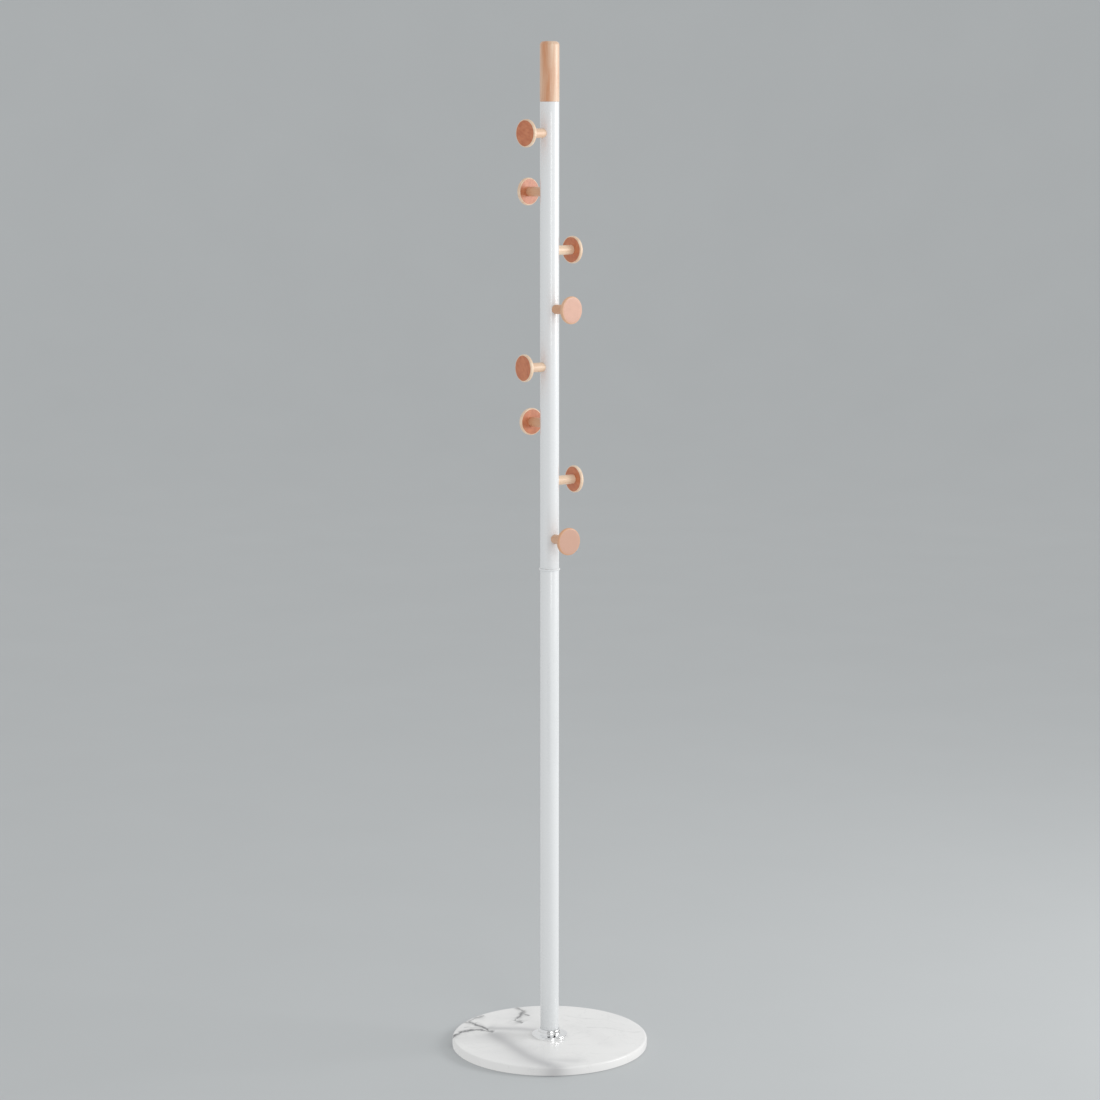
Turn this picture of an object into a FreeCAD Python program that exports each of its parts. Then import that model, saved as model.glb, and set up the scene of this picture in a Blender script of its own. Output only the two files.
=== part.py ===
import FreeCAD
import Part
import math
import os

# Standing coat rack: round marble foot, chrome collar, two screwed pole tubes,
# wooden cap and eight wooden pegs. Millimetres, +Z up.
# The origin is on the floor, on the axis of the pole.

# --- Marble slab ---
base_diameter = 340.0
base_thickness = 15.0
base_edge_radius = 4.0
base_foot_chamfer = 1.2
recess_diameter = 46.0
recess_depth = 6.0

# --- Floor pads ---
pad_count = 4
pad_diameter = 24.0
pad_thickness = 1.5
pad_inset = 14.0
pad_edge_radius = 0.4

# --- Bolt and washer under the slab ---
joint_thread = 10.0
base_bolt_length = 30.0
base_bolt_head_diameter = 22.0
base_bolt_head_height = 3.0
base_bolt_head_chamfer = 0.6
socket_across_flats = 6.0
socket_depth = 4.5
washer_diameter = 40.0
washer_thickness = 2.0

# --- Chrome collar ---
collar_flange_width = 14.7
collar_height = 14.0
collar_flange_height = 4.6
collar_flange_rounding = 1.4
collar_shoulder_width = 6.2
collar_shoulder_height = 6.0
collar_neck_width = 3.5
collar_neck_height = 8.6
collar_wall = 1.2

# --- Pole tubes ---
tube_diameter = 32.0
tube_wall = 1.2
lower_tube_length = 825.0
upper_tube_length = 786.0
plug_length = 25.0
plug_chamfer = 0.5

# --- Ring and stud between the tubes ---
ring_stand_out = 1.8
ring_height = 3.0
ring_rounding = 1.0
joint_stud_length = 44.0

# --- Cap ---
cap_length = 99.0
cap_overhang = 0.3
cap_top_rounding = 6.5
cap_foot_rounding = 0.6
cap_thread = 8.0
cap_stud_in_wood = 32.0
cap_stud_in_plug = 18.0

# --- Pegs ---
hook_count = 8
hook_end_margin = 52.0
hook_first_angle = -90.0
hook_step_angle = -90.0
lower_hooks_from = 5
lower_hooks_turn = -6.0
hook_reach = 56.0
disc_diameter = 46.5
disc_thickness = 6.5
disc_edge_radius = 2.4
stem_diameter = 16.0
tenon_diameter = 10.0
tenon_length = 4.0

# --- Peg bolts and rivet nuts ---
hook_thread = 6.0
hook_bolt_in_wood = 22.0
hook_bolt_in_pole = 9.0
rivet_body_diameter = 9.0
rivet_flange_diameter = 9.6
rivet_flange_thickness = 0.8
rivet_bulge_diameter = 11.2
rivet_bulge_length = 2.0
rivet_depth = 11.0

# --- Clearances, all radial or along the axis of the fit ---
thread_gap = 0.05
plug_gap = 0.05
bolt_hole_gap = 0.5
collar_gap = 0.3
cope_gap = 0.1
tenon_gap = 0.05
glue_gap = 0.2
rivet_gap = 0.05
flange_gap = 0.2
drill_gap = 1.0

# --- Heights and radii that follow from the sizes above ---
tube_radius = tube_diameter / 2
tube_bore_radius = tube_radius - tube_wall
base_bottom = pad_thickness
base_top = base_bottom + base_thickness
recess_top = base_bottom + recess_depth
lower_tube_top = base_top + lower_tube_length
upper_tube_bottom = lower_tube_top + ring_height
upper_tube_top = upper_tube_bottom + upper_tube_length
hook_pitch = (upper_tube_length - 2 * hook_end_margin) / (hook_count - 1)
disc_back = hook_reach - disc_thickness
stem_start = tube_radius + rivet_flange_thickness + flange_gap

up = FreeCAD.Vector(0, 0, 1)
outward = FreeCAD.Vector(1, 0, 0)
centre = FreeCAD.Vector(0, 0, 0)


def rod(diameter, bottom, height):
    return Part.makeCylinder(diameter / 2, height, FreeCAD.Vector(0, 0, bottom), up)


def cross_rod(diameter, start, end):
    """A rod along +X, from one distance from the pole's axis to another."""
    return Part.makeCylinder(diameter / 2, end - start, FreeCAD.Vector(start, 0, 0), outward)


def round_edges(solid, diameter, axis, distance):
    """The circular edges of one diameter that lie at one distance along an axis."""
    found = []
    for edge in solid.Edges:
        if not isinstance(edge.Curve, Part.Circle):
            continue
        right_size = abs(edge.Curve.Radius - diameter / 2) < 1e-4
        right_place = abs(edge.Curve.Center.dot(axis) - distance) < 1e-4
        if right_size and right_place:
            found.append(edge)
    return found


def turned(edges):
    """Turn a closed outline of edges in the XZ plane about the pole's axis."""
    return Part.Face(Part.Wire(edges)).revolve(centre, up, 360)


def outline_point(radius, height):
    return FreeCAD.Vector(radius, 0, height)


def line(start, end):
    return Part.LineSegment(outline_point(*start), outline_point(*end)).toShape()


def curve(start, through, end):
    return Part.Arc(outline_point(*start), outline_point(*through), outline_point(*end)).toShape()


def marble_base():
    slab = rod(base_diameter, base_bottom, base_thickness)
    slab = slab.cut(rod(recess_diameter, base_bottom, recess_depth))
    slab = slab.cut(rod(joint_thread + 2 * bolt_hole_gap, base_bottom, base_thickness))
    slab = slab.makeFillet(base_edge_radius, round_edges(slab, base_diameter, up, base_top))
    return slab.makeChamfer(base_foot_chamfer, round_edges(slab, base_diameter, up, base_bottom))


def floor_pad(number):
    pad = rod(pad_diameter, 0, pad_thickness)
    pad = pad.makeFillet(pad_edge_radius, round_edges(pad, pad_diameter, up, 0))
    pad.translate(FreeCAD.Vector(base_diameter / 2 - pad_inset - pad_diameter / 2, 0, 0))
    pad.rotate(centre, up, 360 * (number - 0.5) / pad_count)
    return pad


def base_washer():
    bottom = recess_top - washer_thickness
    washer = rod(washer_diameter, bottom, washer_thickness)
    return washer.cut(rod(joint_thread + 2 * bolt_hole_gap, bottom, washer_thickness))


def hexagon_socket(bottom):
    corner_radius = socket_across_flats / math.sqrt(3)
    corners = []
    for corner in range(7):
        angle = math.radians(60 * corner)
        x = corner_radius * math.cos(angle)
        y = corner_radius * math.sin(angle)
        corners.append(FreeCAD.Vector(x, y, bottom))
    return Part.Face(Part.makePolygon(corners)).extrude(up * socket_depth)


def base_bolt():
    head_top = recess_top - washer_thickness
    head_bottom = head_top - base_bolt_head_height
    head = rod(base_bolt_head_diameter, head_bottom, base_bolt_head_height)
    rim = round_edges(head, base_bolt_head_diameter, up, head_bottom)
    head = head.makeChamfer(base_bolt_head_chamfer, rim)
    bolt = head.fuse(rod(joint_thread, head_top, base_bolt_length)).removeSplitter()
    bolt = bolt.cut(hexagon_socket(head_bottom))
    tip = round_edges(bolt, joint_thread, up, head_top + base_bolt_length)
    return bolt.makeChamfer(joint_thread / 8, tip)


def foot_collar():
    """A pressed bell: upright rim, low shoulder, hollow cove and a domed neck."""
    bore = tube_radius + collar_gap
    rim = bore + collar_flange_width
    shoulder = bore + collar_shoulder_width
    neck = bore + collar_neck_width
    lip = bore + collar_wall
    rounding = collar_flange_rounding
    corner = rounding * (1 - math.sqrt(0.5))
    rim_bottom = (rim, 0)
    rim_side = (rim, collar_flange_height - rounding)
    rim_top = (rim - rounding, collar_flange_height)
    shoulder_top = (shoulder, collar_shoulder_height)
    neck_foot = (neck, collar_neck_height)
    cove_middle = (neck + 0.25 * (shoulder - neck),
                   collar_shoulder_height + 0.3 * (collar_neck_height - collar_shoulder_height))
    dome_middle = (lip + 0.78 * (neck - lip), (collar_neck_height + collar_height) / 2)
    lip_top = (lip, collar_height)
    bore_top = (bore, collar_height)
    bore_bottom = (bore, collar_neck_height)
    inner_shoulder = (shoulder, collar_shoulder_height - 1.5 * collar_wall)
    inner_rim_top = (rim - collar_wall, collar_flange_height - 1.5 * collar_wall)
    inner_rim_bottom = (rim - collar_wall, 0)
    outline = [
        line(rim_bottom, rim_side),
        curve(rim_side, (rim - corner, collar_flange_height - corner), rim_top),
        line(rim_top, shoulder_top),
        curve(shoulder_top, cove_middle, neck_foot),
        curve(neck_foot, dome_middle, lip_top),
        line(lip_top, bore_top),
        line(bore_top, bore_bottom),
        line(bore_bottom, inner_shoulder),
        line(inner_shoulder, inner_rim_top),
        line(inner_rim_top, inner_rim_bottom),
        line(inner_rim_bottom, rim_bottom),
    ]
    bell = turned(outline)
    bell.translate(FreeCAD.Vector(0, 0, base_top))
    return bell


def threaded_plug(bottom, thread, length=plug_length):
    diameter = 2 * (tube_bore_radius - plug_gap)
    plug = rod(diameter, bottom, length)
    ends = round_edges(plug, diameter, up, bottom) + round_edges(plug, diameter, up, bottom + length)
    plug = plug.makeChamfer(plug_chamfer, ends)
    return plug.cut(rod(thread + 2 * thread_gap, bottom, length))


def threaded_stud(thread, bottom, length):
    stud = rod(thread, bottom, length)
    ends = round_edges(stud, thread, up, bottom) + round_edges(stud, thread, up, bottom + length)
    return stud.makeChamfer(thread / 8, ends)


def plain_tube(bottom, length):
    return rod(tube_diameter, bottom, length).cut(rod(2 * tube_bore_radius, bottom, length))


def joint_ring():
    diameter = tube_diameter + 2 * ring_stand_out
    ring = rod(diameter, lower_tube_top, ring_height)
    edges = round_edges(ring, diameter, up, lower_tube_top)
    edges += round_edges(ring, diameter, up, upper_tube_bottom)
    ring = ring.makeFillet(ring_rounding, edges)
    return ring.cut(rod(joint_thread + 2 * bolt_hole_gap, lower_tube_top, ring_height))


def wood_cap():
    diameter = tube_diameter + 2 * cap_overhang
    cap = rod(diameter, upper_tube_top, cap_length)
    cap = cap.makeFillet(cap_top_rounding, round_edges(cap, diameter, up, upper_tube_top + cap_length))
    cap = cap.makeFillet(cap_foot_rounding, round_edges(cap, diameter, up, upper_tube_top))
    hole_depth = cap_stud_in_wood + drill_gap
    return cap.cut(rod(cap_thread + 2 * thread_gap, upper_tube_top, hole_depth))


def hook_angle(number):
    turn = lower_hooks_turn if number >= lower_hooks_from else 0.0
    return hook_first_angle + hook_step_angle * (number - 1) + turn


def hook_height(number):
    return upper_tube_top - hook_end_margin - hook_pitch * (number - 1)


def placed(shape, number):
    """Swing a piece modelled along +X round the pole and lift it to its peg's height."""
    shape.rotate(centre, up, hook_angle(number))
    shape.translate(FreeCAD.Vector(0, 0, hook_height(number)))
    return shape


def upper_tube():
    tube = plain_tube(upper_tube_bottom, upper_tube_length)
    for number in range(1, hook_count + 1):
        hole = cross_rod(rivet_body_diameter + 2 * rivet_gap, 0, tube_diameter)
        tube = tube.cut(placed(hole, number))
    return tube


def hook_disc():
    disc = cross_rod(disc_diameter, disc_back, hook_reach)
    rims = round_edges(disc, disc_diameter, outward, disc_back)
    rims += round_edges(disc, disc_diameter, outward, hook_reach)
    disc = disc.makeFillet(disc_edge_radius, rims)
    socket_end = disc_back + tenon_length + glue_gap
    return disc.cut(cross_rod(tenon_diameter + 2 * tenon_gap, disc_back, socket_end))


def hook_stem():
    """A dowel coped to the tube, with a tenon at the disc and a pilot hole for its bolt."""
    stem = cross_rod(stem_diameter, 0, disc_back)
    stem = stem.fuse(cross_rod(tenon_diameter, disc_back, disc_back + tenon_length))
    stem = stem.cut(rod(tube_diameter + 2 * cope_gap, -stem_diameter, 2 * stem_diameter))
    stem = stem.cut(cross_rod(rivet_flange_diameter + 2 * bolt_hole_gap, 0, stem_start))
    pilot_end = stem_start + hook_bolt_in_wood + drill_gap
    return stem.cut(cross_rod(hook_thread + 2 * thread_gap, 0, pilot_end))


def hook_bolt():
    start = tube_radius - hook_bolt_in_pole
    end = stem_start + hook_bolt_in_wood
    bolt = cross_rod(hook_thread, start, end)
    machine_end = round_edges(bolt, hook_thread, outward, start)
    bolt = bolt.makeChamfer(hook_thread / 8, machine_end)
    wood_end = round_edges(bolt, hook_thread, outward, end)
    return bolt.makeChamfer(hook_thread / 3, wood_end)


def rivet_nut():
    """Flange outside the tube, body through its wall and a crimped bulge inside."""
    bulge_radius = rivet_bulge_diameter / 2
    bulge_end = math.sqrt(tube_bore_radius ** 2 - bulge_radius ** 2) - cope_gap
    nut = cross_rod(rivet_body_diameter, tube_radius - rivet_depth, tube_radius)
    nut = nut.fuse(cross_rod(rivet_flange_diameter, tube_radius, tube_radius + rivet_flange_thickness))
    nut = nut.fuse(cross_rod(rivet_bulge_diameter, bulge_end - rivet_bulge_length, bulge_end))
    bore = cross_rod(hook_thread + 2 * thread_gap, 0, tube_diameter)
    return nut.cut(bore).removeSplitter()


def all_pieces():
    upper_plug_bottom = upper_tube_top - plug_length
    joint_stud_bottom = (lower_tube_top + upper_tube_bottom - joint_stud_length) / 2
    cap_stud_length = cap_stud_in_plug + cap_stud_in_wood
    pieces = {
        "marble_base": marble_base(),
        "base_washer": base_washer(),
        "base_bolt": base_bolt(),
        "foot_collar": foot_collar(),
        "foot_plug": threaded_plug(base_top, joint_thread),
        "lower_tube": plain_tube(base_top, lower_tube_length),
        "lower_top_plug": threaded_plug(lower_tube_top - plug_length, joint_thread),
        "joint_ring": joint_ring(),
        "joint_stud": threaded_stud(joint_thread, joint_stud_bottom, joint_stud_length),
        "upper_bottom_plug": threaded_plug(upper_tube_bottom, joint_thread),
        "upper_tube": upper_tube(),
        "upper_top_plug": threaded_plug(upper_plug_bottom, cap_thread),
        "cap_stud": threaded_stud(cap_thread, upper_tube_top - cap_stud_in_plug, cap_stud_length),
        "wood_cap": wood_cap(),
    }
    for number in range(1, pad_count + 1):
        pieces[f"floor_pad_{number}"] = floor_pad(number)
    for number in range(1, hook_count + 1):
        pieces[f"hook_disc_{number}"] = placed(hook_disc(), number)
        pieces[f"hook_stem_{number}"] = placed(hook_stem(), number)
        pieces[f"hook_bolt_{number}"] = placed(hook_bolt(), number)
        pieces[f"rivet_nut_{number}"] = placed(rivet_nut(), number)
    return pieces


os.makedirs("parts", exist_ok=True)
for name, shape in all_pieces().items():
    shape.exportStep(f"parts/{name}.step")
    box = shape.BoundBox
    print(f"{name:20s} solids {len(shape.Solids)} valid {shape.isValid()}"
          f" volume {shape.Volume:12.1f} z {box.ZMin:8.2f} to {box.ZMax:8.2f}")
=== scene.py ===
import bmesh
import bpy
import math
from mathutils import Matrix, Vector


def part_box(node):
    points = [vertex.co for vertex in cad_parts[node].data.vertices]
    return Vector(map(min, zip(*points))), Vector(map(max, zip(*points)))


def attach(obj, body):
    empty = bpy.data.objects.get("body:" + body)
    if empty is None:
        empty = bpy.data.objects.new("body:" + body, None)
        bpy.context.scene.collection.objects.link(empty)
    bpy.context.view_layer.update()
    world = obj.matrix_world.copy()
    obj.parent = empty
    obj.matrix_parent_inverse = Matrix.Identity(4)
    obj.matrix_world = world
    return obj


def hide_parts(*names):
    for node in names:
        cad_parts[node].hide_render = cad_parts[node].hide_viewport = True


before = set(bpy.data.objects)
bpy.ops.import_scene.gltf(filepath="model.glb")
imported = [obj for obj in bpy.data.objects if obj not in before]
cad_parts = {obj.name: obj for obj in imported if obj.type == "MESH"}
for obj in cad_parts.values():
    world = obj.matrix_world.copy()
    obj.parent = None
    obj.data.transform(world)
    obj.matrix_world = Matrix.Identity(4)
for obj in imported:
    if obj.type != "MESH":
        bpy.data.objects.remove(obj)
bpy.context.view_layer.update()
bpy.context.scene.view_settings.view_transform = "Standard"
print("frame loaded")


# camera and lights

camera = {
    "azimuth": 47.0,  # degrees round the pole, 0 looks along +Y
    "distance": 4.7502,  # metres from the pole's axis
    "height": 1.6015,
    "tilt": 8.687,  # degrees below level
    "lens": 92.28,
    "shift": 0.00034,
    "farthest": 60,  # metres that the camera sees
}

skyLook = {"colour": (0.985, 0.995, 1.0, 1), "strength": 0.72}

# bearing is in degrees to the right of the camera, seen from the pole
softboxes = {
    "keyLight": {"bearing": 88, "distance": 2.6, "low": 1.0, "high": 2.2, "width": 1.6, "watts": 34},
    "stripLight": {"bearing": 20, "distance": 3.5, "low": 0.93, "high": 2.2, "width": 1.0, "watts": 15},
}


def clearSelection():
    if bpy.context.object and bpy.context.object.mode == "EDIT":
        bpy.ops.object.mode_set(mode="OBJECT")
    bpy.ops.object.select_all(action="DESELECT")


def roundPole(bearing, distance, height):
    # a place given by its bearing from the camera
    turn = math.radians(camera["azimuth"] + bearing)
    return Vector((distance * math.sin(turn), -distance * math.cos(turn), height))


def boxPlace(box):
    # the middle of a light or panel, and the way from it to the pole
    middle = (box["low"] + box["high"]) / 2
    place = roundPole(box["bearing"], box["distance"], middle)
    return place, Vector((0, 0, middle)) - place


def makeCamera():
    bpy.ops.object.camera_add(
        location=roundPole(0, camera["distance"], camera["height"]),
        rotation=(math.radians(90 - camera["tilt"]), 0, math.radians(camera["azimuth"])),
    )
    made = bpy.context.object
    made.data.lens = camera["lens"]
    made.data.shift_x = camera["shift"]
    made.data.clip_end = camera["farthest"]
    bpy.context.scene.camera = made


def makeSky():
    world = bpy.data.worlds.new("studioSky")
    world.use_nodes = True
    backdrop = world.node_tree.nodes["Background"]
    backdrop.inputs["Color"].default_value = skyLook["colour"]
    backdrop.inputs["Strength"].default_value = skyLook["strength"]
    bpy.context.scene.world = world


def makeSoftbox(name, box):
    place, inward = boxPlace(box)
    bpy.ops.object.light_add(type="AREA", location=place)
    made = bpy.context.object
    made.name = name
    made.data.shape = "RECTANGLE"
    made.data.size = box["width"]
    made.data.size_y = box["high"] - box["low"]
    made.data.energy = box["watts"]
    made.rotation_euler = inward.to_track_quat("-Z", "Y").to_euler()


makeCamera()
makeSky()
for lightName, softbox in softboxes.items():
    makeSoftbox(lightName, softbox)
print("camera and lights made")


# node helpers

def newMaterial(name):
    material = bpy.data.materials.new(name)
    material.use_nodes = True
    tree = material.node_tree
    return material, tree, tree.nodes["Principled BSDF"]


def node(tree, kind, sockets=None, **settings):
    # adds a node, sets or links its sockets
    made = tree.nodes.new(kind)
    for key, value in settings.items():
        setattr(made, key, value)
    for key, value in (sockets or {}).items():
        if isinstance(value, bpy.types.NodeSocket):
            tree.links.new(value, made.inputs[key])
        else:
            made.inputs[key].default_value = value
    return made


def calc(tree, operation, first, second=0.0):
    return node(tree, "ShaderNodeMath", {0: first, 1: second}, operation=operation).outputs[0]


def product(tree, first, second):
    return calc(tree, "MULTIPLY", first, second)


def multiplyAdd(tree, vector, factor, added):
    sockets = {0: vector, 1: factor, 2: added}
    return node(tree, "ShaderNodeVectorMath", sockets, operation="MULTIPLY_ADD").outputs[0]


def stretched(tree, vector, scale, place=(0, 0, 0)):
    sockets = {"Vector": vector, "Location": place, "Scale": scale}
    return node(tree, "ShaderNodeMapping", sockets).outputs[0]


def noise(tree, vector, scale, detail=2.0, roughness=0.5, distortion=0.0):
    sockets = {
        "Vector": vector,
        "Scale": scale,
        "Detail": detail,
        "Roughness": roughness,
        "Distortion": distortion,
    }
    return node(tree, "ShaderNodeTexNoise", sockets)


def noiseLevel(tree, vector, scale, *settings):
    # the same noise as one number, mostly between 0.3 and 0.7
    return noise(tree, vector, scale, *settings).outputs["Fac"]


def remap(tree, value, low, high, newLow=0.0, newHigh=1.0, way="LINEAR"):
    sockets = {"Value": value, "From Min": low, "From Max": high, "To Min": newLow, "To Max": newHigh}
    return node(tree, "ShaderNodeMapRange", sockets, interpolation_type=way).outputs["Result"]


def mixColour(tree, amount, first, second):
    sockets = {0: amount, 6: first, 7: second}
    return node(tree, "ShaderNodeMix", sockets, data_type="RGBA").outputs[2]


def paint(tree, shader, colour):
    tree.links.new(colour, shader.inputs["Base Color"])


def roughen(tree, shader, pattern, span, low=0.3, high=0.7):
    # the pattern's values from low to high give the roughness its span
    tree.links.new(remap(tree, pattern, low, high, *span), shader.inputs["Roughness"])


def bump(tree, shader, height, distance, strength=1.0):
    sockets = {"Height": height, "Distance": distance, "Strength": strength}
    tree.links.new(node(tree, "ShaderNodeBump", sockets).outputs[0], shader.inputs["Normal"])


def coat(shader, look):
    shader.inputs["Coat Weight"].default_value = look["coat"]
    shader.inputs["Coat Roughness"].default_value = look["coatRoughness"]


def objectPlace(tree):
    return node(tree, "ShaderNodeTexCoord").outputs["Object"]


# marble: scales are in waves per metre, depths and pushes in metres

marbleLook = {
    "white": (0.885, 0.88, 0.868, 1),
    "cloud": (0.835, 0.833, 0.825, 1),
    "band": (0.50, 0.50, 0.505, 1),
    "vein": (0.10, 0.102, 0.108, 1),
    "softScale": 14,  # soft bends for the bands, clouds and hair lines
    "softPush": 0.018,
    "jaggedScale": 70,  # sharp bends for the dark veins
    "jaggedPush": 0.016,
    "widthScale": 60,
    "width": (0.3, 1.9),  # least and most share of a dark vein's half width
    "cloudScale": 7,
    "hairScale": 9,
    "hairWidth": 0.010,
    "hairStrength": 0.13,
    "leadIn": 0.1,  # shares of a line's way over which it grows and dies away
    "veinFade": 0.08,
    "bandFade": 0.22,
    "polishScale": 120,
    "roughness": (0.18, 0.26),
    "gritScale": 900,
    "gritDepth": 0.000004,
    "ior": 1.46,
}

# each line has its two ends on the slab, half its width, how dark it is,
# and how far it wanders sideways at shares of its way
darkVeins = [
    {"from": (-0.106, -0.135), "to": (-0.091, -0.0633), "half": 0.0032, "dark": 0.95,
     "wander": [(0.34, 0.0158), (0.61, 0.0198), (0.86, 0.0148)]},
    {"from": (-0.087, -0.064), "to": (-0.153, -0.0548), "half": 0.0028, "dark": 0.92,
     "wander": [(0.36, -0.0043), (0.66, -0.0027)]},
    {"from": (-0.148, -0.060), "to": (-0.1600, -0.010), "half": 0.0026, "dark": 0.62,
     "wander": [(0.35, 0.0042), (0.75, 0.0028)]},
    {"from": (-0.103, -0.071), "to": (-0.082, -0.059), "half": 0.0036, "dark": 0.8,
     "wander": [(0.5, 0.001)]},
    {"from": (-0.158, -0.062), "to": (-0.136, -0.050), "half": 0.0040, "dark": 0.55,
     "wander": [(0.5, -0.002)]},
    {"from": (-0.1355, -0.0827), "to": (-0.104, -0.063), "half": 0.0026, "dark": 0.34,
     "wander": [(0.47, 0.0035)]},
    {"from": (-0.158, 0.063), "to": (-0.1206, 0.0497), "half": 0.0024, "dark": 0.7,
     "wander": [(0.38, 0.0032)]},
    {"from": (-0.127, 0.057), "to": (-0.099, 0.009), "half": 0.0024, "dark": 0.85,
     "wander": [(0.48, -0.0024)]},
    {"from": (-0.1225, 0.0471), "to": (-0.103, 0.047), "half": 0.0022, "dark": 0.75,
     "wander": [(0.5, 0.001)]},
    {"from": (-0.1072, 0.0091), "to": (-0.0819, 0.0127), "half": 0.0040, "dark": 0.7,
     "wander": [(0.32, 0.0021)]},
    {"from": (0.010, 0.074), "to": (0.100, 0.132), "half": 0.0012, "dark": 0.16,
     "wander": [(0.4, 0.006), (0.7, -0.003)]},
    {"from": (-0.070, 0.094), "to": (0.004, 0.132), "half": 0.0012, "dark": 0.12,
     "wander": [(0.5, -0.006)]},
]
greyBands = [
    {"from": (-0.098, -0.062), "to": (0.185, -0.108), "half": 0.017, "dark": 0.88,
     "wander": [(0.26, -0.004), (0.52, -0.015)]},
    {"from": (0.030, -0.120), "to": (0.150, -0.040), "half": 0.014, "dark": 0.42,
     "wander": [(0.5, -0.012)]},
    {"from": (-0.112, -0.056), "to": (-0.008, 0.020), "half": 0.010, "dark": 0.75,
     "wander": [(0.4, 0.004)]},
    {"from": (-0.03, 0.06), "to": (0.14, 0.03), "half": 0.016, "dark": 0.12,
     "wander": [(0.5, 0.012)]},
]


def veinStrength(tree, place, width, fade, vein):
    # 1 on the vein's line, falling off to both sides and at both ends
    start = Vector((*vein["from"], 0))
    run = Vector((*vein["to"], 0)) - start
    angle = math.atan2(run.y, run.x)
    sockets = {"Vector": place, "Location": start, "Rotation": (0, 0, angle), "Scale": (run.length,) * 3}
    local = node(tree, "ShaderNodeMapping", sockets, vector_type="TEXTURE").outputs[0]
    parts = node(tree, "ShaderNodeSeparateXYZ", {0: local}).outputs
    line = node(tree, "ShaderNodeFloatCurve", {"Value": parts["X"]})
    points = line.mapping.curves[0].points
    middle = 0.5  # a curve holds only values from 0 to 1, so the straight way lies here
    points[0].location = (0, middle)
    points[1].location = (1, middle)
    for share, sideways in vein["wander"]:
        points.new(share, middle + sideways / run.length)
    line.mapping.update()
    aside = calc(tree, "SUBTRACT", parts["Y"], calc(tree, "SUBTRACT", line.outputs[0], middle))
    share = calc(tree, "DIVIDE", aside, product(tree, width, vein["half"] / run.length))
    nearness = calc(tree, "DIVIDE", 1.0, calc(tree, "ADD", product(tree, share, share), 1.0))
    begins = remap(tree, parts["X"], 0.0, marbleLook["leadIn"], way="SMOOTHSTEP")
    ends = remap(tree, parts["X"], 1.0 - fade, 1.0, 1.0, 0.0, way="SMOOTHSTEP")
    return product(tree, product(tree, nearness, product(tree, begins, ends)), vein["dark"])


def warped(tree, place, wobble, size):
    # places pushed about by a noise whose middle is a half
    centred = node(tree, "ShaderNodeVectorMath", {0: wobble, 1: (0.5,) * 3}, operation="SUBTRACT")
    return multiplyAdd(tree, centred.outputs[0], (size,) * 3, place)


def marbleMaterial():
    look = marbleLook
    material, tree, shader = newMaterial("polishedMarble")
    place = objectPlace(tree)
    softly = noise(tree, place, look["softScale"], 1).outputs["Color"]
    sharply = noise(tree, place, look["jaggedScale"], 4, 0.65).outputs["Color"]
    soft = warped(tree, place, softly, look["softPush"])
    jagged = warped(tree, place, sharply, look["jaggedPush"])
    width = remap(tree, noiseLevel(tree, place, look["widthScale"]), 0.3, 0.7, *look["width"])

    clouds = remap(tree, noiseLevel(tree, soft, look["cloudScale"], 3, 0.5, 0.6), 0.45, 0.75)
    colour = mixColour(tree, clouds, look["white"], look["cloud"])
    sorts = (
        (greyBands, soft, 1.0, look["bandFade"], look["band"]),
        (darkVeins, jagged, width, look["veinFade"], look["vein"]),
    )
    for lines, at, spread, fade, tint in sorts:
        total = 0.0
        for vein in lines:
            total = calc(tree, "MAXIMUM", veinStrength(tree, at, spread, fade, vein), total)
        colour = mixColour(tree, total, colour, tint)
    # hair lines all over, hardly there
    hair = noiseLevel(tree, soft, look["hairScale"], 5, 0.58, 1.0)
    crease = calc(tree, "ABSOLUTE", calc(tree, "SUBTRACT", hair, 0.5))
    faint = remap(tree, crease, 0.0, look["hairWidth"], look["hairStrength"], 0.0)
    paint(tree, shader, mixColour(tree, faint, colour, look["band"]))

    roughen(tree, shader, noiseLevel(tree, place, look["polishScale"], 3), look["roughness"])
    bump(tree, shader, noiseLevel(tree, place, look["gritScale"]), look["gritDepth"])
    shader.inputs["IOR"].default_value = look["ior"]
    return material


# enamel, chrome, zinc and foam

enamelLook = {
    "colour": (0.80, 0.817, 0.825, 1),
    "shade": (0.78, 0.797, 0.808, 1),
    "driftScale": (8, 8, 2),  # slow change of shade, drawn out along the tube
    "hazeScale": 60,
    "roughness": (0.23, 0.32),
    "peelScale": 420,
    "peelDepth": 0.000006,
    "coat": 0.4,
    "coatRoughness": 0.06,
}


def enamelMaterial():
    look = enamelLook
    material, tree, shader = newMaterial("whiteEnamel")
    place = objectPlace(tree)
    drift = noiseLevel(tree, stretched(tree, place, look["driftScale"]), 1, 3)
    paint(tree, shader, mixColour(tree, drift, look["colour"], look["shade"]))
    roughen(tree, shader, noiseLevel(tree, place, look["hazeScale"], 3), look["roughness"])
    bump(tree, shader, noiseLevel(tree, place, look["peelScale"], 1), look["peelDepth"])
    coat(shader, look)
    return material


chromeLook = {
    "colour": (0.945, 0.95, 0.955, 1),
    "smudge": (0.87, 0.875, 0.88, 1),
    "smearScale": 140,
    "roughness": (0.055, 0.125),
    "rippleScale": 300,
    "rippleDepth": 0.000006,
}


def chromeMaterial():
    look = chromeLook
    material, tree, shader = newMaterial("polishedChrome")
    place = objectPlace(tree)
    smears = remap(tree, noiseLevel(tree, place, look["smearScale"], 4, 0.6), 0.45, 0.75)
    paint(tree, shader, mixColour(tree, smears, look["colour"], look["smudge"]))
    roughen(tree, shader, smears, look["roughness"], 0.0, 1.0)
    bump(tree, shader, noiseLevel(tree, place, look["rippleScale"]), look["rippleDepth"])
    shader.inputs["Metallic"].default_value = 1.0
    return material


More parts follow.
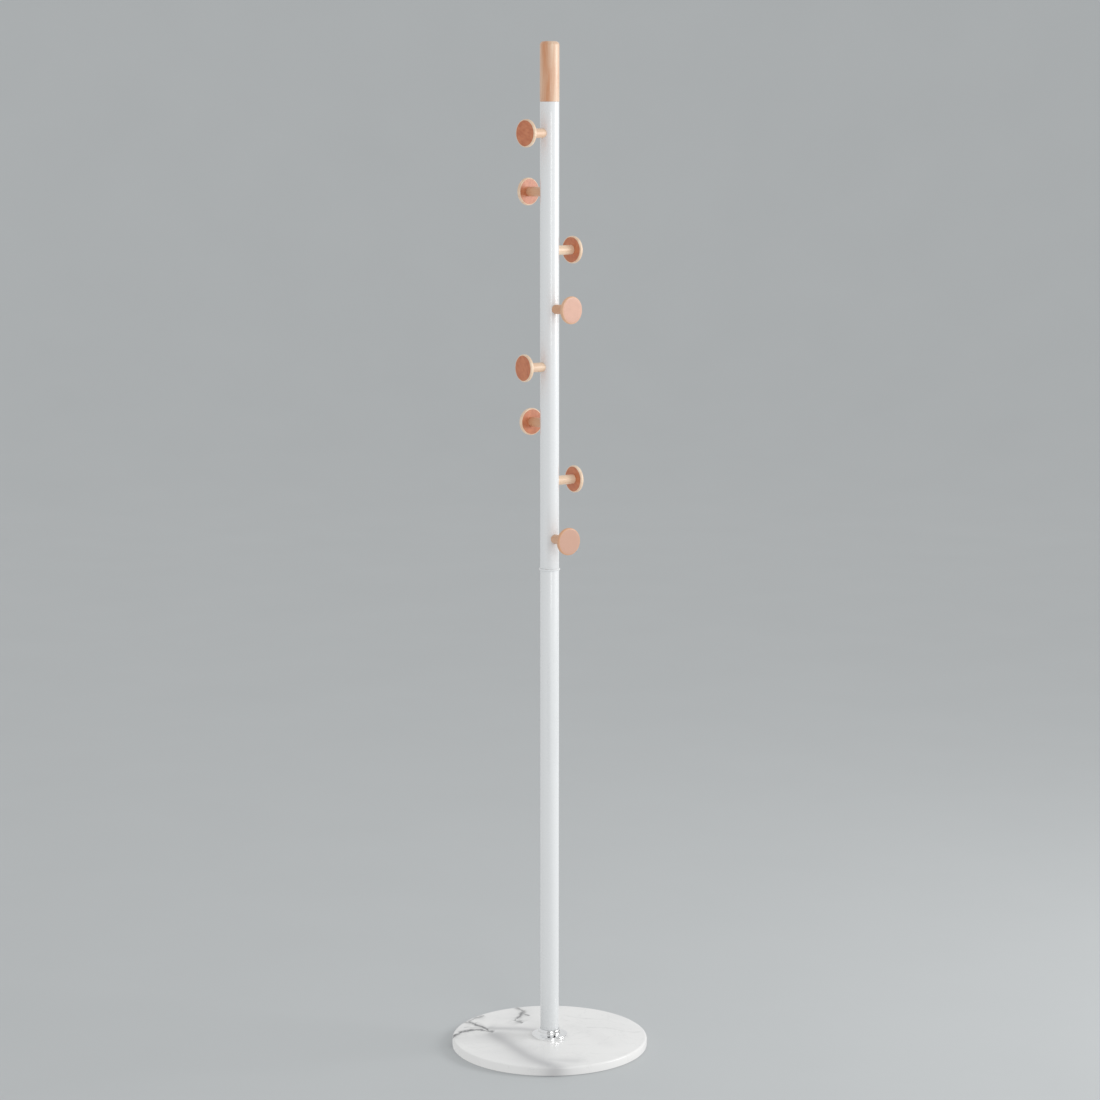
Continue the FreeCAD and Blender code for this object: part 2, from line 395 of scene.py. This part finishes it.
zincLook = {
    "colour": (0.56, 0.57, 0.58, 1),
    "patch": (0.42, 0.44, 0.47, 1),
    "tint": (0.62, 0.60, 0.50, 1),
    "tintStrength": 0.6,
    "spangleScale": 420,
    "tintScale": 160,
    "roughness": (0.28, 0.42),
    "grainScale": 1800,
    "grainDepth": 0.00002,
}


def zincMaterial():
    look = zincLook
    material, tree, shader = newMaterial("zincPlatedSteel")
    place = objectPlace(tree)
    sockets = {"Vector": place, "Scale": look["spangleScale"]}
    spangle = node(tree, "ShaderNodeTexVoronoi", sockets).outputs["Color"]
    grey = mixColour(tree, remap(tree, spangle, 0.2, 0.8), look["colour"], look["patch"])
    tinted = remap(tree, noiseLevel(tree, place, look["tintScale"], 3), 0.5, 0.8, 0.0, look["tintStrength"])
    paint(tree, shader, mixColour(tree, tinted, grey, look["tint"]))
    fine = noiseLevel(tree, place, look["grainScale"], 3)
    roughen(tree, shader, fine, look["roughness"])
    bump(tree, shader, fine, look["grainDepth"])
    shader.inputs["Metallic"].default_value = 1.0
    return material


foamLook = {
    "colour": (0.055, 0.055, 0.058, 1),
    "pore": (0.02, 0.02, 0.022, 1),
    "cellScale": 1400,
    "cellDepth": 0.0001,
    "wearScale": 200,
    "roughness": (0.75, 0.9),
}


def foamMaterial():
    look = foamLook
    material, tree, shader = newMaterial("foamRubber")
    place = objectPlace(tree)
    sockets = {"Vector": place, "Scale": look["cellScale"]}
    cells = node(tree, "ShaderNodeTexVoronoi", sockets).outputs["Distance"]
    paint(tree, shader, mixColour(tree, remap(tree, cells, 0.1, 0.6), look["pore"], look["colour"]))
    roughen(tree, shader, noiseLevel(tree, place, look["wearScale"]), look["roughness"])
    bump(tree, shader, cells, look["cellDepth"])
    return material


# the two woods: as a piece's painted light and shade share rises, its ends get a painted lit wash and its
# sides get painted shade

capWoodLook = {
    "pale": (0.81, 0.61, 0.45, 1),
    "dark": (0.62, 0.275, 0.13, 1),
    "endPale": (0.66, 0.38, 0.22, 1),
    "endDark": (0.50, 0.24, 0.12, 1),
    # painted lit wash for the ends and painted shade for the sides, mixed in by the painted light and shade
    # share
    "paintedLitEnd": (0.60, 0.36, 0.24, 1),
    "paintedShadeSide": (0.68, 0.36, 0.20, 1),
    "pore": (0.34, 0.15, 0.07, 1),
    "ringPitch": 0.027,
    "ringShare": 0.62,
    "blotchShare": 0.45,
    "roughness": (0.35, 0.47),
}
pegWoodLook = {
    "pale": (0.86, 0.69, 0.52, 1),
    "dark": (0.76, 0.53, 0.36, 1),
    "endPale": (0.61, 0.205, 0.085, 1),
    # painted lit wash for the ends and painted shade for the sides, mixed in by the painted light and shade
    # share
    "endDark": (0.48, 0.125, 0.042, 1),
    "paintedLitEnd": (0.60, 0.36, 0.265, 1),
    "paintedShadeSide": (0.68, 0.36, 0.20, 1),
    "pore": (0.26, 0.10, 0.05, 1),
    "ringPitch": 0.0060,
    "ringShare": 0.26,
    "blotchShare": 1.05,
    "roughness": (0.40, 0.52),
}

# what both woods share; scales and pushes are given along the grain, then across it
grainLook = {
    "swayScale": (9, 60, 60),
    "swayPush": (0, 0.007, 0.007),
    "heart": (0, 0.052, 0.021),  # the rings' middle, well outside the piece
    "heartScale": (0.03, 1, 1),
    "ringSharpness": 2.2,
    "streakScale": (14, 700, 700),
    "streakShare": (-0.1, 0.4),
    "blotchScale": (14, 95, 95),
    "blotchBalance": 0.72,  # the share of the blotches that darkens, the rest makes paler
    "fleckScale": (320, 4200, 4200),
    "fleckStrength": 0.45,
    # kept tight, so that besides real side grain a painted reflection, a pale rim, shows round each face
    "endEdgeAndPaintedRim": (0.975, 0.999),  # how squarely a face is cut before it counts as an end
    "relief": 0.00003,
    "reliefStrength": 0.7,
    "streakRelief": 0.4,
    "coat": 0.45,
    "coatRoughness": 0.36,
}


def attribute(tree, name, output="Fac"):
    return node(tree, "ShaderNodeAttribute", attribute_name=name).outputs[output]


def growthRings(tree, swayed, pitch):
    heart = stretched(tree, swayed, grainLook["heartScale"], grainLook["heart"])
    reach = node(tree, "ShaderNodeVectorMath", {0: heart}, operation="LENGTH").outputs["Value"]
    wave = calc(tree, "SINE", product(tree, reach, 2 * math.pi / pitch))
    return calc(tree, "POWER", remap(tree, wave, -1.0, 1.0), grainLook["ringSharpness"])


def woodMaterial(name, look):
    # turned hardwood with a satin lacquer: the grain runs along the first part of the
    # grain attribute, and the faces cut across it drink in more stain
    shared = grainLook
    material, tree, shader = newMaterial(name)
    grain = attribute(tree, "grain", "Vector")
    sway = noise(tree, stretched(tree, grain, shared["swayScale"]), 1, 3).outputs["Color"]
    swayed = multiplyAdd(tree, sway, shared["swayPush"], grain)
    rings = growthRings(tree, swayed, look["ringPitch"])
    streaks = noiseLevel(tree, stretched(tree, swayed, shared["streakScale"]), 1, 4, 0.62)
    blotch = noiseLevel(tree, stretched(tree, grain, shared["blotchScale"]), 1, 2)

    # how dark the wood is at each place, from its rings, streaks and blotches
    streaked = remap(tree, streaks, 0.3, 0.75, *shared["streakShare"])
    blotchHigh = shared["blotchBalance"] * look["blotchShare"]
    blotched = remap(tree, blotch, 0.3, 0.7, blotchHigh - look["blotchShare"], blotchHigh)
    amount = calc(tree, "ADD", product(tree, rings, look["ringShare"]), streaked)
    amount = node(tree, "ShaderNodeClamp", {0: calc(tree, "ADD", amount, blotched)}).outputs[0]

    # painted light and shade: this share darkens the sides as if shaded and pales the ends as if lit
    paintedLightShade = attribute(tree, "paintedLightShade")
    side = mixColour(tree, amount, look["pale"], look["dark"])
    side = mixColour(tree, paintedLightShade, side, look["paintedShadeSide"])
    end = mixColour(tree, amount, look["endPale"], look["endDark"])
    end = mixColour(tree, paintedLightShade, end, look["paintedLitEnd"])
    # the rounded edges stay as pale as the sides: partly the side grain showing there, partly a painted
    # reflection, a pale rim round each face
    endShareAndPaintedRim = remap(tree, attribute(tree, "endGrain"), *shared["endEdgeAndPaintedRim"], way="SMOOTHSTEP")
    colour = mixColour(tree, endShareAndPaintedRim, side, end)
    flecks = noiseLevel(tree, stretched(tree, swayed, shared["fleckScale"]), 1, 2)
    flecks = remap(tree, flecks, 0.62, 0.72)
    paint(tree, shader, mixColour(tree, product(tree, flecks, shared["fleckStrength"]), colour, look["pore"]))

    roughen(tree, shader, streaks, look["roughness"])
    relief = calc(tree, "SUBTRACT", product(tree, streaks, shared["streakRelief"]), flecks)
    bump(tree, shader, relief, shared["relief"], shared["reliefStrength"])
    coat(shader, shared)
    return material


marble = marbleMaterial()
enamel = enamelMaterial()
chrome = chromeMaterial()
zinc = zincMaterial()
foam = foamMaterial()
capWood = woodMaterial("capWood", capWoodLook)
pegWood = woodMaterial("pegWood", pegWoodLook)
print("finishes made")


# turning and finishing

near = 2e-6  # metres, how close to a ring's place an edge has to lie
weld = 1e-6  # metres, points closer than this are merged
sharpEdge = 32  # degrees, edges that turn more than this stay crisp


def turned(name, outline, steps, closed=False, capped=False):
    # a ring of edges is drawn out and resized from each (radius, height) to the next;
    # closed joins the last ring to the first, capped fills both of them
    clearSelection()
    radius, height = outline[0]
    bpy.ops.mesh.primitive_circle_add(vertices=steps, radius=radius, location=(0, 0, height))
    piece = bpy.context.object
    piece.name = name
    piece.data.name = name
    bpy.ops.object.transform_apply(location=True, rotation=True, scale=True)
    bpy.ops.object.mode_set(mode="EDIT")
    bpy.ops.mesh.select_all(action="SELECT")
    for nextRadius, nextHeight in outline[1:]:
        bpy.ops.mesh.extrude_region_move(TRANSFORM_OT_translate={"value": (0, 0, nextHeight - height)})
        size = nextRadius / radius
        bpy.ops.transform.resize(value=(size, size, 1), center_override=(0, 0, nextHeight))
        radius, height = nextRadius, nextHeight
    if capped:
        bpy.ops.mesh.edge_face_add()
        pickRings(piece, [outline[0]])
        bpy.ops.mesh.edge_face_add()
    if closed:
        bpy.ops.mesh.select_all(action="DESELECT")
        bpy.ops.mesh.select_mode(type="EDGE")
        bpy.ops.mesh.select_non_manifold()
        bpy.ops.mesh.bridge_edge_loops()
    return piece


def pickRings(piece, places):
    # selects the edges that lie on these rings, each a (radius, height)
    bpy.ops.mesh.select_mode(type="EDGE")
    bpy.ops.mesh.select_all(action="DESELECT")
    mesh = bmesh.from_edit_mesh(piece.data)
    for edge in mesh.edges:
        for radius, height in places:
            if all(abs(math.hypot(v.co.x, v.co.y) - radius) < near and abs(v.co.z - height) < near
                   for v in edge.verts):
                edge.select_set(True)
    bmesh.update_edit_mesh(piece.data)


def roundRings(piece, places, rounding):
    # a rounding is its size and the number of faces across it
    size, segments = rounding
    pickRings(piece, places)
    bpy.ops.mesh.bevel(offset=size, offset_type="OFFSET", segments=segments, profile=0.5, affect="EDGES")


def shadeSmooth(degrees=sharpEdge):
    bpy.ops.object.shade_smooth_by_angle(angle=math.radians(degrees))


def finished(piece, degrees=sharpEdge):
    # doubles merged, faces outward, smooth shading; leaves edit mode
    bpy.ops.mesh.select_all(action="SELECT")
    bpy.ops.mesh.remove_doubles(threshold=weld)
    bpy.ops.mesh.normals_make_consistent(inside=False)
    bpy.ops.object.mode_set(mode="OBJECT")
    shadeSmooth(degrees)
    return piece


def bend(start, pull, end, steps):
    # points of a smooth curve from start to end, drawn towards pull, without start itself
    points = []
    for step in range(1, steps + 1):
        t = step / steps
        a, b, c = (1 - t) ** 2, 2 * t * (1 - t), t * t
        points.append((a * start[0] + b * pull[0] + c * end[0], a * start[1] + b * pull[1] + c * end[1]))
    return points


def cutAway(piece, rod):
    # takes the rod's shape out of the piece, which stays the one selected
    clearSelection()
    bpy.context.view_layer.objects.active = piece
    piece.select_set(True)
    cut = piece.modifiers.new("cut", "BOOLEAN")
    cut.operation = "DIFFERENCE"
    cut.solver = "EXACT"
    cut.object = rod
    bpy.ops.object.modifier_apply(modifier=cut.name)
    bpy.data.objects.remove(rod)


def keepGrain(piece, along, across, depth):
    # each point's place in its plank, the grain's direction first, and how squarely each
    # face's corners are cut across it
    piece.data.attributes.new("grain", "FLOAT_VECTOR", "POINT")
    piece.data.attributes.new("endGrain", "FLOAT", "CORNER")
    for vertex, place in zip(piece.data.vertices, piece.data.attributes["grain"].data):
        place.vector = (vertex.co.dot(along), vertex.co.dot(across), vertex.co.dot(depth))
    for normal, end in zip(piece.data.corner_normals, piece.data.attributes["endGrain"].data):
        end.value = abs(normal.vector.dot(along))


def moveGrain(piece, offset, twist, paintedLightShade=0.0):
    # another cut from the plank, turned about the grain; the last number is painted light and shade: higher
    # paints the ends paler as if lit and the sides darker as if shaded
    piece.data.attributes.new("paintedLightShade", "FLOAT", "POINT")
    for point in piece.data.attributes["paintedLightShade"].data:
        point.value = paintedLightShade
    cosine, sine = math.cos(twist), math.sin(twist)
    for place in piece.data.attributes["grain"].data:
        x, y, z = place.vector
        across, depth = y * cosine - z * sine, y * sine + z * cosine
        place.vector = (x + offset[0], across + offset[1], depth + offset[2])


def fit(piece, material, slot, *nodes):
    # gives the piece its finish, hangs it under the root body and hides the CAD nodes that it stands for
    piece.data.materials.append(material)
    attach(piece, "root")
    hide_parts(*nodes)


def sizeOf(name):
    # the node's lowest and highest corner and its radius
    low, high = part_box(name)
    return low, high, (high.x - low.x) / 2


# dark panels that only show as reflections in the chrome

darkCards = {
    "cardUnderKey": {"bearing": 85, "distance": 2.3, "low": 0.05, "high": 0.62, "width": 3.9},
    "cardOverKey": {"bearing": 84, "distance": 2.7, "low": 2.3, "high": 5.2, "width": 3.6},
    "cardByCamera": {"bearing": -10, "distance": 2.3, "low": 0.05, "high": 0.62, "width": 1.45},
    "cardOverCamera": {"bearing": -10, "distance": 2.3, "low": 2.3, "high": 4.6, "width": 1.6},
}
cardLook = {"colour": (0.01, 0.01, 0.01, 1), "roughness": 0.9}


def cardMaterial():
    material, _, shader = newMaterial("darkCard")
    shader.inputs["Base Color"].default_value = cardLook["colour"]
    shader.inputs["Roughness"].default_value = cardLook["roughness"]
    return material


def makeCard(name, box, material):
    place, inward = boxPlace(box)
    clearSelection()
    bpy.ops.mesh.primitive_plane_add(size=1, location=place)
    made = bpy.context.object
    made.name = name
    made.rotation_euler = inward.to_track_quat("Z", "Y").to_euler()
    made.scale = (box["width"], box["high"] - box["low"], 1)
    bpy.ops.object.transform_apply(location=True, rotation=True, scale=True)
    made.data.materials.append(material)
    made.visible_camera = False
    made.visible_diffuse = False
    made.visible_shadow = False
    made.visible_transmission = False


# pale floor, swept up all round into a wall

floorLook = {
    "radius": 6.5,
    "sweep": 2.6,
    "wall": 3.0,
    "steps": 128,
    "sweepSteps": 16,
    "colour": (0.555, 0.575, 0.582, 1),
    "patch": (0.53, 0.55, 0.557, 1),
    "patchScale": 3,
    "roughness": 0.62,
    "specular": 0.25,
}


def floorMaterial():
    look = floorLook
    material, tree, shader = newMaterial("paleFloor")
    mottle = noiseLevel(tree, objectPlace(tree), look["patchScale"], 4)
    paint(tree, shader, mixColour(tree, mottle, look["colour"], look["patch"]))
    shader.inputs["Roughness"].default_value = look["roughness"]
    shader.inputs["Specular IOR Level"].default_value = look["specular"]
    return material


def makeFloor():
    reach = floorLook["radius"]
    wall = reach + floorLook["sweep"]
    sweepTop = floorLook["sweep"]
    outline = [(reach, 0.0)] + bend((reach, 0), (wall, 0), (wall, sweepTop), floorLook["sweepSteps"])
    outline.append((wall, sweepTop + floorLook["wall"]))
    floor = turned("studioFloor", outline, floorLook["steps"])
    pickRings(floor, [outline[0]])
    bpy.ops.mesh.edge_face_add()
    bpy.ops.mesh.select_all(action="SELECT")
    bpy.ops.mesh.normals_make_consistent(inside=True)
    bpy.ops.object.mode_set(mode="OBJECT")
    shadeSmooth()
    floor.data.materials.append(floorMaterial())
    # the rack stands in even white light from all round, so only the camera sees the floor
    floor.visible_glossy = False
    floor.visible_diffuse = False
    floor.visible_shadow = False


darkCard = cardMaterial()
for cardName, card in darkCards.items():
    makeCard(cardName, card, darkCard)
makeFloor()
print("cards and floor made")


# marble slab

slabShape = {
    "rounding": (0.004, 10),
    "footRounding": (0.0012, 3),
    "holeRounding": (0.0005, 2),
    "recess": 0.023,  # radius of the pocket for the bolt head
    "recessDepth": 0.006,
    "hole": 0.0055,
    "topRings": (0.6, 0.25),  # shares of the radius, so that the top has no long thin faces
    "steps": 256,
}


def makeSlab():
    shape = slabShape
    low, high, radius = sizeOf("marble_base")
    ceiling = low.z + shape["recessDepth"]
    corners = [
        (shape["hole"], ceiling),
        (shape["recess"], ceiling),
        (shape["recess"], low.z),
        (radius, low.z),
        (radius, high.z),
        *((radius * share, high.z) for share in shape["topRings"]),
        (shape["hole"], high.z),
    ]
    slab = turned("marbleSlab", corners, shape["steps"], closed=True)
    roundRings(slab, [(radius, high.z)], shape["rounding"])
    roundRings(slab, [(radius, low.z)], shape["footRounding"])
    roundRings(slab, [(shape["recess"], low.z), (shape["hole"], high.z)], shape["holeRounding"])
    finished(slab)
    fit(slab, marble, "marble", "marble_base")


makeSlab()
print("slab made")


# chrome collar

collarShape = {
    "wall": 0.0012,
    "slopeWall": 0.0018,  # measured upright, where the collar slopes
    "clearance": 0.0003,  # between the bore and the tube
    "rimHeight": 0.0046,
    "rimRounding": 0.0014,
    "shoulder": (0.0062, 0.0060),  # width outside the bore, height
    "shoulderPull": (0.0004, 0.0002),
    "neck": (0.0035, 0.0086),
    "neckPull": (0.0001, 0.0012),
    "lip": 0.0012,
    "boreRounding": (0.0003, 2),
    "curveSteps": (6, 8, 12),  # at the rim, the shoulder and the neck
    "sharpEdge": 40,
    "steps": 192,
}


def makeCollar():
    shape = collarShape
    low, high, rim = sizeOf("foot_collar")
    tubeRadius = sizeOf("lower_tube")[2]
    bore = tubeRadius + shape["clearance"]
    shoulder = (bore + shape["shoulder"][0], low.z + shape["shoulder"][1])
    neck = (bore + shape["neck"][0], low.z + shape["neck"][1])
    lip = (bore + shape["lip"], high.z)
    shoulderPull = (neck[0] + shape["shoulderPull"][0], shoulder[1] + shape["shoulderPull"][1])
    neckPull = (neck[0] + shape["neckPull"][0], high.z - shape["neckPull"][1])
    rimTop = low.z + shape["rimHeight"]
    rounding = shape["rimRounding"]
    rimSteps, shoulderSteps, neckSteps = shape["curveSteps"]
    outside = [(rim, low.z), (rim, rimTop - rounding)]
    outside += bend(outside[-1], (rim, rimTop), (rim - rounding, rimTop), rimSteps)
    outside.append(shoulder)
    outside += bend(shoulder, shoulderPull, neck, shoulderSteps)
    outside += bend(neck, neckPull, lip, neckSteps)
    inside = [
        (bore, high.z),
        (bore, neck[1]),
        (shoulder[0], shoulder[1] - shape["slopeWall"]),
        (rim - shape["wall"], rimTop - shape["slopeWall"]),
        (rim - shape["wall"], low.z),
    ]
    collar = turned("chromeCollar", outside + inside, shape["steps"], closed=True)
    roundRings(collar, [(bore, high.z)], shape["boreRounding"])
    finished(collar, shape["sharpEdge"])
    fit(collar, chrome, "collar_chrome", "foot_collar")


makeCollar()
print("collar made")


# pole tubes and the ring between them

poleShape = {
    "wall": 0.0012,
    "rounding": (0.0006, 3),
    "steps": 96,
    "hole": 0.00455,  # radius of the holes for the rivet nuts
    "holeSteps": 32,
    "band": 0.0068,  # half height of the belt of faces round each hole
}
ringShape = {"hole": 0.0055, "rounding": (0.001, 6)}


def pegPlace(number):
    # angle round the pole, distance and height of a peg's disc
    low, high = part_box(f"hook_disc_{number}")
    middle = (low + high) / 2
    return math.atan2(middle.y, middle.x), math.hypot(middle.x, middle.y), middle.z


pegNumbers = range(1, 1 + sum(name.startswith("hook_disc_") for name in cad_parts))


def makeTube(name, cadNode, belts=()):
    shape = poleShape
    low, high, radius = sizeOf(cadNode)
    heights = sorted([low.z, high.z, *belts])
    outer = [(radius, height) for height in heights]
    inner = [(radius - shape["wall"], height) for height in reversed(heights)]
    tube = turned(name, outer + inner, shape["steps"], closed=True)
    roundRings(tube, [(radius, low.z), (radius, high.z)], shape["rounding"])
    return finished(tube)


def drillTube(tube):
    # one rod through the wall at each peg, cut away
    shape = poleShape
    for number in pegNumbers:
        angle, distance, height = pegPlace(number)
        clearSelection()
        bpy.ops.mesh.primitive_cylinder_add(vertices=shape["holeSteps"], radius=shape["hole"], depth=distance)
        rod = bpy.context.object
        rod.rotation_euler = (0, math.pi / 2, angle)
        rod.location = (distance / 2 * math.cos(angle), distance / 2 * math.sin(angle), height)
        bpy.ops.object.transform_apply(location=True, rotation=True, scale=True)
        cutAway(tube, rod)
    shadeSmooth()


def makeRing():
    low, high, radius = sizeOf("joint_ring")
    hole = ringShape["hole"]
    corners = [(hole, low.z), (radius, low.z), (radius, high.z), (hole, high.z)]
    ring = turned("jointRing", corners, poleShape["steps"], closed=True)
    roundRings(ring, [(radius, low.z), (radius, high.z)], ringShape["rounding"])
    finished(ring)
    fit(ring, enamel, "white_enamel", "joint_ring")


def makePole():
    lower = makeTube("lowerTube", "lower_tube")
    fit(lower, enamel, "white_enamel", "lower_tube")
    belts = []
    for number in pegNumbers:
        height = pegPlace(number)[2]
        belts += [height - poleShape["band"], height + poleShape["band"]]
    upper = makeTube("upperTube", "upper_tube", belts)
    drillTube(upper)
    fit(upper, enamel, "white_enamel", "upper_tube")
    makeRing()


makePole()
print("pole made")


# wooden cap

capShape = {
    "topRounding": (0.0065, 14),
    "footRounding": (0.0006, 3),
    "hole": 0.00405,
    "holeDepth": 0.033,
    "topRing": 0.35,  # share of the radius
    "cut": (0.3, 0.0150, 0.0),  # where in the plank it was cut, and how it was turned
    "twist": math.radians(-47),
    "steps": 96,
}


def makeCap():
    shape = capShape
    low, high, radius = sizeOf("wood_cap")
    corners = [
        (shape["hole"], low.z + shape["holeDepth"]),
        (shape["hole"], low.z),
        (radius, low.z),
        (radius, high.z),
        (radius * shape["topRing"], high.z),
    ]
    cap = turned("woodCap", corners, shape["steps"], capped=True)
    roundRings(cap, [(radius, high.z)], shape["topRounding"])
    roundRings(cap, [(radius, low.z)], shape["footRounding"])
    finished(cap)
    keepGrain(cap, Vector((0, 0, 1)), Vector((1, 0, 0)), Vector((0, 1, 0)))
    moveGrain(cap, shape["cut"], shape["twist"])
    fit(cap, capWood, "cap_wood", "wood_cap")


makeCap()
print("cap made")


# pegs: one disc and one stem turned upright, then a copy of each for every peg

pegShape = {
    "rounding": (0.0024, 9),
    "faceRings": (0.7, 0.2),  # shares of the disc's radius
    "tenon": 0.005,
    "tenonLength": 0.004,
    "socketDepth": 0.0042,
    "footStart": 0.006,  # inside the pole, the first part is coped away
    "copeGap": 0.0001,
    "copeLength": 0.05,
    "copeSteps": 256,
    "pocket": 0.0053,  # radius of the pocket over the rivet nut's flange
    "pocketEnd": 0.017,  # both ends measured from the pole's axis
    "pilot": 0.00305,
    "pilotEnd": 0.040,
    "steps": 96,
    "cutSteps": (0.37, 0.011, 0.013),  # from peg to peg along, across and into the plank
    "twistStep": 0.9,
    # painted light and shade per peg: discs whose faces meet the key light get paler ends, stems whose seen
    # sides face away from it get darker sides
    "paintedLightShades": {"pegDisc": (0.0, 0.1, 0.05, 0.75, 0.0, 0.08, 0.0, 0.95),
              "pegStem": (0.35, 0.85, 0.08, 0.9, 0.12, 0.95, 0.05, 0.75)},
}


def makeDisc():
    shape = pegShape
    low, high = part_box("hook_disc_1")
    radius = (high.z - low.z) / 2
    back = -high.y
    face = -low.y
    corners = [
        (shape["tenon"], back + shape["socketDepth"]),
        (shape["tenon"], back),
        (radius, back),
        (radius, face),
        *((radius * share, face) for share in shape["faceRings"]),
    ]
    disc = turned("pegDisc", corners, shape["steps"], capped=True)
    roundRings(disc, [(radius, back), (radius, face)], shape["rounding"])
    return finished(disc)


def makeStem():
    shape = pegShape
    low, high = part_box("hook_stem_1")
    radius = (high.z - low.z) / 2
    tenonEnd = -low.y
    shoulder = tenonEnd - shape["tenonLength"]
    corners = [
        (shape["pilot"], shape["pilotEnd"]),
        (shape["pilot"], shape["pocketEnd"]),
        (shape["pocket"], shape["pocketEnd"]),
        (shape["pocket"], shape["footStart"]),
        (radius, shape["footStart"]),
        (radius, shoulder),
        (shape["tenon"], shoulder),
        (shape["tenon"], tenonEnd),
    ]
    stem = turned("pegStem", corners, shape["steps"], capped=True)
    finished(stem)
    # cope the foot to the pole
    clearSelection()
    bpy.ops.mesh.primitive_cylinder_add(
        vertices=shape["copeSteps"],
        radius=sizeOf("lower_tube")[2] + shape["copeGap"],
        depth=shape["copeLength"],
        rotation=(0, math.pi / 2, 0),
    )
    rod = bpy.context.object
    bpy.ops.object.transform_apply(location=True, rotation=True, scale=True)
    cutAway(stem, rod)
    shadeSmooth()
    return stem


def placeCopy(pattern, name, angle, height):
    clearSelection()
    piece = pattern.copy()
    piece.data = pattern.data.copy()
    piece.name = name
    piece.data.name = name
    bpy.context.collection.objects.link(piece)
    piece.rotation_euler = (0, math.pi / 2, angle)
    piece.location = (0, 0, height)
    bpy.context.view_layer.objects.active = piece
    piece.select_set(True)
    bpy.ops.object.transform_apply(location=True, rotation=True, scale=True)
    return piece


def pegCut(number):
    # every peg comes from another place in the plank
    along, across, depth = pegShape["cutSteps"]
    return along * number, across * (number % 3), depth * (number % 4)


def makePegs():
    patterns = {"pegDisc": makeDisc(), "pegStem": makeStem()}
    for pattern in patterns.values():
        keepGrain(pattern, Vector((0, 0, 1)), Vector((1, 0, 0)), Vector((0, 1, 0)))
    for number in pegNumbers:
        angle, distance, height = pegPlace(number)
        for kind, cadNode in (("pegDisc", "hook_disc"), ("pegStem", "hook_stem")):
            piece = placeCopy(patterns[kind], f"{kind}{number}", angle, height)
            paintedLightShades = pegShape["paintedLightShades"][kind]
            paintedLightShade = paintedLightShades[(number - 1) % len(paintedLightShades)]
            moveGrain(piece, pegCut(number), pegShape["twistStep"] * number, paintedLightShade)
            fit(piece, pegWood, "peg_wood", f"{cadNode}_{number}")
    for pattern in patterns.values():
        bpy.data.objects.remove(pattern)


makePegs()
print("pegs made")


# the pieces that stay as they came

def finishHardware():
    for name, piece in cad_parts.items():
        if piece.hide_render:
            continue
        finish = foam if name.startswith("floor_pad") else zinc
        piece.data.materials.clear()
        piece.data.materials.append(finish)


finishHardware()
clearSelection()
print("hardware finished")
